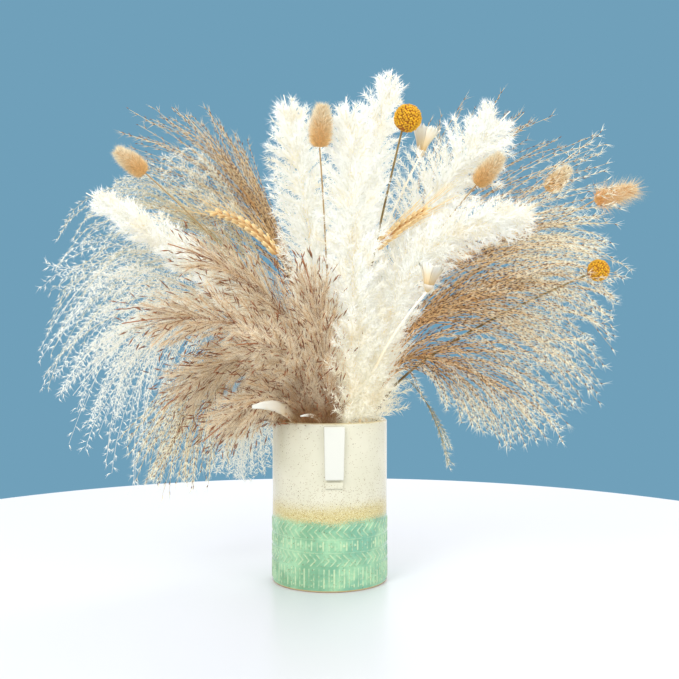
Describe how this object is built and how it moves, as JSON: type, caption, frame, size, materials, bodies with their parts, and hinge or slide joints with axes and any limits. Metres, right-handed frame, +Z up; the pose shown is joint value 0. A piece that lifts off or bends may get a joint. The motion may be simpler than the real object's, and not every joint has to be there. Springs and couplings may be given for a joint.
{
  "type": "bundle of pampas grass in a vase",
  "caption": "Dried pampas plumes with fine grasses, bunny tails, billy buttons, wheat and papery flowers, standing in a glazed cylinder vase.",
  "frame": {"origin": "centre of the vase's foot, on the surface it stands on", "axes": "+Z up along the vase's axis; -Y towards the front, where the vase has its lug; +X towards the arrangement's right-hand side"},
  "size_m": [0.6603, 0.3137, 0.547],
  "materials": {
    "glaze": "cream glaze over a speckled sand band and a celadon foot, glossy",
    "bleached_plume": "soft bleached plume hair",
    "natural_plume": "silky brown plume hair with rust spikelets",
    "tan_grass": "dry beaded grass",
    "silver_grass": "dry silvery grass",
    "green_grass": "dry grey-green grass",
    "bunny_fur": "short dense fur",
    "straw_stem": "dry straw, satin",
    "foxtail_bristles": "long pale bristles",
    "billy_yellow": "tight dry florets, matt",
    "billy_stem": "dry olive-brown stem",
    "wheat_straw": "golden husk, satin",
    "paper_petal": "dry papery petals, satin",
    "golden_centre": "fine dry florets, matt"
  },
  "bodies": {
    "root": {"vase": "glaze", "white_plume_far_left": "bleached_plume", "white_plume_left": "bleached_plume", "white_plume_front": "bleached_plume", "white_plume_tall": "bleached_plume", "white_plume_right": "bleached_plume", "white_plume_arching": "bleached_plume", "brown_plume_high": "natural_plume", "brown_plume_left": "natural_plume", "brown_plume_low_left": "natural_plume", "brown_plume_upright": "natural_plume", "brown_plume_forward": "natural_plume", "brown_plume_over_rim": "natural_plume", "spray_upper_left": "tan_grass", "spray_left": "tan_grass", "spray_silver": "silver_grass", "spray_hanging_left": "tan_grass", "spray_curly_rim": "silver_grass", "spray_upper_right": "tan_grass", "spray_right": "tan_grass", "spray_lower_right": "tan_grass", "spray_hanging_right": "tan_grass", "spray_thin_right": "green_grass", "bunny_tail_left": "bunny_fur", "bunny_tail_left_stem": "straw_stem", "bunny_tail_middle": "bunny_fur", "bunny_tail_middle_stem": "straw_stem", "bunny_tail_right": "bunny_fur", "bunny_tail_right_stem": "straw_stem", "bunny_tail_back": "bunny_fur", "bunny_tail_back_stem": "straw_stem", "foxtail": "foxtail_bristles", "foxtail_stem": "straw_stem", "billy_button_large": "billy_yellow", "billy_button_large_stem": "billy_stem", "billy_button_small": "billy_yellow", "billy_button_small_stem": "billy_stem", "wheat_left": "wheat_straw", "wheat_right": "wheat_straw", "paper_flower_back": "paper_petal", "paper_flower_back_centre": "golden_centre", "paper_flower_front": "paper_petal", "paper_flower_front_centre": "golden_centre"}
  },
  "joints": []
}
